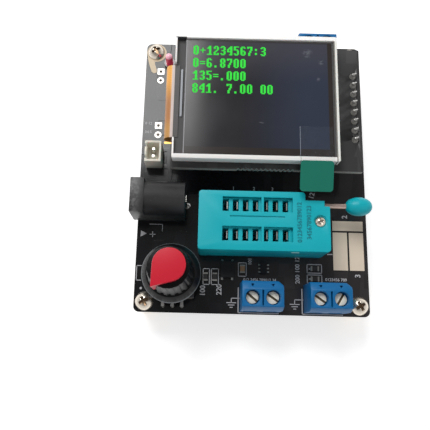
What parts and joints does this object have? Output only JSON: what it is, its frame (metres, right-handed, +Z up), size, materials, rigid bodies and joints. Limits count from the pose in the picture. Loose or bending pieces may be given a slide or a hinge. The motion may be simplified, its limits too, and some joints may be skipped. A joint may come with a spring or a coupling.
{
  "type": "component tester",
  "caption": "Open-board bench component tester with a colour display, lever test socket, push-and-turn knob and screw terminals on standoffs.",
  "frame": {"origin": "centre of the four standoff feet, on the plane they stand on", "axes": "+Z up; +Y towards the display end of the board; +X right, as the display is read"},
  "size_m": [0.0634, 0.078, 0.0351],
  "materials": {
    "black_solder_mask": "glossy black solder mask over glass epoxy",
    "brass": "plain machined brass",
    "nickel_steel": "nickel-plated steel, slightly warm",
    "tinned_copper": "dull hot-air-levelled tin",
    "solder": "bright solder",
    "chip_epoxy": "matt black moulded epoxy",
    "nickel_can": "satin nickel can",
    "capacitor_ceramic": "tan ceramic with tinned ends",
    "red_lens": "red diffused lens",
    "white_nylon": "off-white nylon",
    "tinned_pins": "bright tinned contact metal",
    "black_plastic": "satin black moulded plastic",
    "foam_tape": "white foam tape",
    "white_plastic": "white moulded plastic",
    "display_glass": "clear glass over a dark cell",
    "dark_polariser": "smooth dark grey film with green figures",
    "driver_silicon": "bare polished silicon",
    "orange_flex": "amber polyimide film",
    "clear_film": "clear protective film",
    "green_film": "green pull tab film",
    "teal_plastic": "satin teal moulded plastic",
    "rod_steel": "drawn steel rod",
    "brown_laminate": "brown phenolic laminate",
    "die_cast_zinc": "die-cast zinc alloy",
    "spring_steel": "stainless spring steel",
    "black_gloss_plastic": "glossy black moulded plastic",
    "red_plastic": "glossy red moulded plastic",
    "blue_plastic": "satin blue moulded plastic",
    "zinc_screw": "zinc-plated steel"
  },
  "bodies": {
    "board": {"main_board": "black_solder_mask", "board_standoffs": "brass", "board_screws": "nickel_steel", "tinned_pads": "tinned_copper", "solder_joints": "solder", "microcontroller": "chip_epoxy", "crystal": "nickel_can", "regulator": "chip_epoxy", "small_chips": "chip_epoxy", "chip_resistors": "chip_epoxy", "chip_capacitors": "capacitor_ceramic", "power_led": "red_lens", "battery_socket": "white_nylon", "battery_socket_pins": "tinned_pins", "dc_jack_body": "black_plastic", "dc_jack_contacts": "tinned_pins", "display_socket": "black_plastic", "display_header": "black_plastic", "display_pins": "solder", "display_board": "black_solder_mask", "display_tape": "foam_tape", "backlight_frame": "white_plastic", "lcd_glass": "display_glass", "polariser": "dark_polariser", "driver_chip": "driver_silicon", "flex_cable": "orange_flex", "screen_film": "clear_film", "pull_tab": "green_film", "zif_base": "teal_plastic", "zif_cover": "teal_plastic", "zif_contacts": "tinned_pins", "zif_screw": "nickel_steel", "encoder_base": "brown_laminate", "encoder_case": "die_cast_zinc", "encoder_pins": "tinned_pins", "switch_dome": "spring_steel", "terminal_block_left": "blue_plastic", "terminal_block_right": "blue_plastic", "terminal_block_rear": "blue_plastic", "terminal_pins": "tinned_pins"},
    "lever": {"zif_lever_rod": "rod_steel", "zif_lever_knob": "teal_plastic"},
    "slider": {"zif_slider": "teal_plastic"},
    "plunger": {"encoder_plunger": "white_nylon"},
    "knob": {"encoder_shaft": "die_cast_zinc", "knob_body": "black_gloss_plastic", "knob_pointer": "red_plastic"},
    "screw_1": {"terminal_screw_1": "zinc_screw"},
    "cage_1": {"clamp_cage_1": "brass"},
    "screw_2": {"terminal_screw_2": "zinc_screw"},
    "cage_2": {"clamp_cage_2": "brass"},
    "screw_3": {"terminal_screw_3": "zinc_screw"},
    "cage_3": {"clamp_cage_3": "brass"},
    "screw_4": {"terminal_screw_4": "zinc_screw"},
    "cage_4": {"clamp_cage_4": "brass"},
    "screw_5": {"terminal_screw_5": "zinc_screw"},
    "cage_5": {"clamp_cage_5": "brass"},
    "screw_6": {"terminal_screw_6": "zinc_screw"},
    "cage_6": {"clamp_cage_6": "brass"}
  },
  "joints": [
    {"name": "lever_lift", "type": "hinge", "parent": "board", "child": "lever", "pos_m": [0.0183, -0.0111, 0.0195], "axis": [0, -1, 0], "range_deg": [0, 90]},
    {"name": "slider_shift", "type": "slide", "parent": "board", "child": "slider", "axis": [1, 0, 0], "range_m": [0, 0.0008]},
    {"name": "shaft_press", "type": "slide", "parent": "board", "child": "plunger", "axis": [0, 0, -1], "range_m": [0, 0.0005], "stiffness_N_per_m": 3000, "springref_m": -0.0005, "deforming": ["switch_dome"]},
    {"name": "knob_turn", "type": "hinge", "parent": "plunger", "child": "knob", "pos_m": [-0.0209, -0.0297, 0.0216], "axis": [0, 0, 1], "continuous": true},
    {"name": "screw_turn_1", "type": "hinge", "parent": "board", "child": "screw_1", "pos_m": [-0.00059, -0.0351, 0.0186], "axis": [0, 0, -1], "range_deg": [0, 1260]},
    {"name": "cage_rise_1", "type": "slide", "parent": "board", "child": "cage_1", "axis": [0, 0, 1], "range_m": [0, 0.00175]},
    {"name": "screw_turn_2", "type": "hinge", "parent": "board", "child": "screw_2", "pos_m": [0.00449, -0.0351, 0.0186], "axis": [0, 0, -1], "range_deg": [0, 1260]},
    {"name": "cage_rise_2", "type": "slide", "parent": "board", "child": "cage_2", "axis": [0, 0, 1], "range_m": [0, 0.00175]},
    {"name": "screw_turn_3", "type": "hinge", "parent": "board", "child": "screw_3", "pos_m": [0.01631, -0.0351, 0.0186], "axis": [0, 0, -1], "range_deg": [0, 1260]},
    {"name": "cage_rise_3", "type": "slide", "parent": "board", "child": "cage_3", "axis": [0, 0, 1], "range_m": [0, 0.00175]},
    {"name": "screw_turn_4", "type": "hinge", "parent": "board", "child": "screw_4", "pos_m": [0.02139, -0.0351, 0.0186], "axis": [0, 0, -1], "range_deg": [0, 1260]},
    {"name": "cage_rise_4", "type": "slide", "parent": "board", "child": "cage_4", "axis": [0, 0, 1], "range_m": [0, 0.00175]},
    {"name": "screw_turn_5", "type": "hinge", "parent": "board", "child": "screw_5", "pos_m": [0.01959, 0.0351, 0.0186], "axis": [0, 0, -1], "range_deg": [0, 1260]},
    {"name": "cage_rise_5", "type": "slide", "parent": "board", "child": "cage_5", "axis": [0, 0, 1], "range_m": [0, 0.00175]},
    {"name": "screw_turn_6", "type": "hinge", "parent": "board", "child": "screw_6", "pos_m": [0.01451, 0.0351, 0.0186], "axis": [0, 0, -1], "range_deg": [0, 1260]},
    {"name": "cage_rise_6", "type": "slide", "parent": "board", "child": "cage_6", "axis": [0, 0, 1], "range_m": [0, 0.00175]}
  ],
  "couplings": [
    {"joint": "lever_lift", "follows": "slider_shift", "rad_per_m": 1963},
    {"joint": "screw_turn_1", "follows": "cage_rise_1", "rad_per_m": 12566},
    {"joint": "screw_turn_2", "follows": "cage_rise_2", "rad_per_m": 12566},
    {"joint": "screw_turn_3", "follows": "cage_rise_3", "rad_per_m": 12566},
    {"joint": "screw_turn_4", "follows": "cage_rise_4", "rad_per_m": 12566},
    {"joint": "screw_turn_5", "follows": "cage_rise_5", "rad_per_m": 12566},
    {"joint": "screw_turn_6", "follows": "cage_rise_6", "rad_per_m": 12566}
  ]
}
